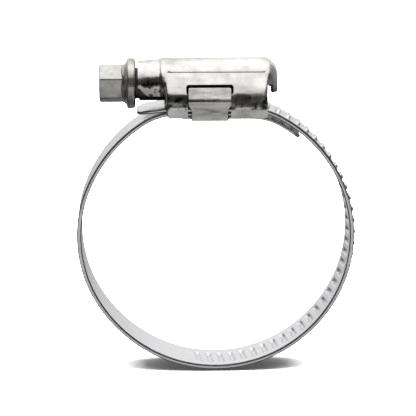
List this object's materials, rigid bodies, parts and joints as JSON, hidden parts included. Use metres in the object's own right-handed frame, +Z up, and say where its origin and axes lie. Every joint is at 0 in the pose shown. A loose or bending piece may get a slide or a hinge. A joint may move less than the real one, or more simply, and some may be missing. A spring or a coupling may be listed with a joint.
{
  "type": "hose clamp",
  "caption": "Worm-drive hose clamp: a round steel band with raised lips and pressed teeth, tightened by a hexagon-headed screw in a housing.",
  "frame": {"origin": "under the middle of the loop, on the plane its lowest teeth stand on", "axes": "+Z up through the loop's centre to the screw, +X along the screw away from its head, +Y along the loop's axis away from the viewer"},
  "size_m": [0.0559, 0.014, 0.0637],
  "materials": {
    "housing_steel": "bright",
    "saddle_steel": "satin",
    "screw_steel": "satin",
    "band_steel": "bright"
  },
  "bodies": {
    "housing": {"screw_housing": "housing_steel", "saddle": "saddle_steel", "band_fixed_end": "band_steel"},
    "screw": {"worm_screw": "screw_steel"},
    "band_feed_run": {"band_threaded_run": "band_steel"},
    "band_tail_tip": {"band_tail_tip": "band_steel"},
    "band_right_1": {"band_right_1": "band_steel"},
    "band_right_2": {"band_right_2": "band_steel"},
    "band_right_3": {"band_right_3": "band_steel"},
    "band_right_4": {"band_right_4": "band_steel"},
    "band_right_5": {"band_right_5": "band_steel"},
    "band_right_6": {"band_right_6": "band_steel"},
    "band_right_7": {"band_right_7": "band_steel"},
    "band_right_8": {"band_right_8": "band_steel"},
    "band_left_1": {"band_left_1": "band_steel"},
    "band_left_2": {"band_left_2": "band_steel"},
    "band_left_3": {"band_left_3": "band_steel", "band_right_9": "band_steel"}
  },
  "joints": [
    {"name": "band_feed", "type": "slide", "parent": "housing", "child": "band_feed_run", "axis": [-1, 0, 0], "range_m": [0, 0.0046]},
    {"name": "screw_turn", "type": "hinge", "parent": "housing", "child": "screw", "pos_m": [0, 0, 0.0585], "axis": [1, 0, 0], "range_deg": [-1, 721]},
    {"name": "tail_curl", "type": "hinge", "parent": "band_feed_run", "child": "band_tail_tip", "pos_m": [-0.0092, 0, 0.0538], "axis": [0, 1, 0], "range_deg": [-20.28, 0.25]},
    {"name": "band_flex_right_1", "type": "hinge", "parent": "band_feed_run", "child": "band_right_1", "pos_m": [0.0069, 0, 0.0538], "axis": [0, 1, 0], "range_deg": [-6.85, 0.25]},
    {"name": "band_flex_right_2", "type": "hinge", "parent": "band_right_1", "child": "band_right_2", "pos_m": [0.00918, 0, 0.05354], "axis": [0, 1, 0], "range_deg": [-11.26, 0.25]},
    {"name": "band_flex_right_3", "type": "hinge", "parent": "band_right_2", "child": "band_right_3", "pos_m": [0.01137, 0, 0.05284], "axis": [0, 1, 0], "range_deg": [-2.54, 0.25]},
    {"name": "band_flex_right_4", "type": "hinge", "parent": "band_right_3", "child": "band_right_4", "pos_m": [0.01342, 0, 0.0518], "axis": [0, 1, 0], "range_deg": [-0.25, 9.44]},
    {"name": "band_flex_right_5", "type": "hinge", "parent": "band_right_4", "child": "band_right_5", "pos_m": [0.01721, 0, 0.0492], "axis": [0, 1, 0], "range_deg": [-0.25, 2.21]},
    {"name": "band_flex_left_1", "type": "hinge", "parent": "housing", "child": "band_left_1", "pos_m": [-0.01745, 0, 0.049], "axis": [0, 1, 0], "range_deg": [-1.88, 0.25]},
    {"name": "band_flex_left_2", "type": "hinge", "parent": "band_left_1", "child": "band_left_2", "pos_m": [-0.027, 0, 0.03104], "axis": [0, 1, 0], "range_deg": [-1.34, 0.25]},
    {"name": "band_flex_left_3", "type": "hinge", "parent": "band_left_2", "child": "band_left_3", "pos_m": [-0.02139, 0, 0.01148], "axis": [0, 1, 0], "range_deg": [-1.96, 0.25]},
    {"name": "band_flex_right_9", "type": "hinge", "parent": "band_left_3", "child": "band_right_8", "pos_m": [0.01112, 0, 0.00343], "axis": [0, 1, 0], "range_deg": [-1.75, 0.25]},
    {"name": "band_flex_right_8", "type": "hinge", "parent": "band_right_8", "child": "band_right_7", "pos_m": [0.02306, 0, 0.01387], "axis": [0, 1, 0], "range_deg": [-1.31, 0.25]},
    {"name": "band_flex_right_7", "type": "hinge", "parent": "band_right_7", "child": "band_right_6", "pos_m": [0.02713, 0, 0.02921], "axis": [0, 1, 0], "range_deg": [-1.29, 0.25]}
  ],
  "couplings": [
    {"joint": "screw_turn", "follows": "band_feed", "rad_per_m": 2731.8},
    {"joint": "tail_curl", "follows": "band_feed", "rad_per_m": -76},
    {"joint": "band_flex_right_1", "follows": "band_feed", "rad_per_m": -25.045},
    {"joint": "band_flex_right_2", "follows": "band_feed", "rad_per_m": -41.773},
    {"joint": "band_flex_right_3", "follows": "band_feed", "rad_per_m": -8.6707},
    {"joint": "band_flex_right_4", "follows": "band_feed", "rad_per_m": 34.849},
    {"joint": "band_flex_right_5", "follows": "band_feed", "rad_per_m": 7.4481},
    {"joint": "band_flex_left_1", "follows": "band_feed", "rad_per_m": -6.1663},
    {"joint": "band_flex_left_2", "follows": "band_feed", "rad_per_m": -4.1414},
    {"joint": "band_flex_left_3", "follows": "band_feed", "rad_per_m": -6.4951},
    {"joint": "band_flex_right_9", "follows": "band_feed", "rad_per_m": -5.6931},
    {"joint": "band_flex_right_8", "follows": "band_feed", "rad_per_m": -4.016},
    {"joint": "band_flex_right_7", "follows": "band_feed", "rad_per_m": -3.9547}
  ]
}
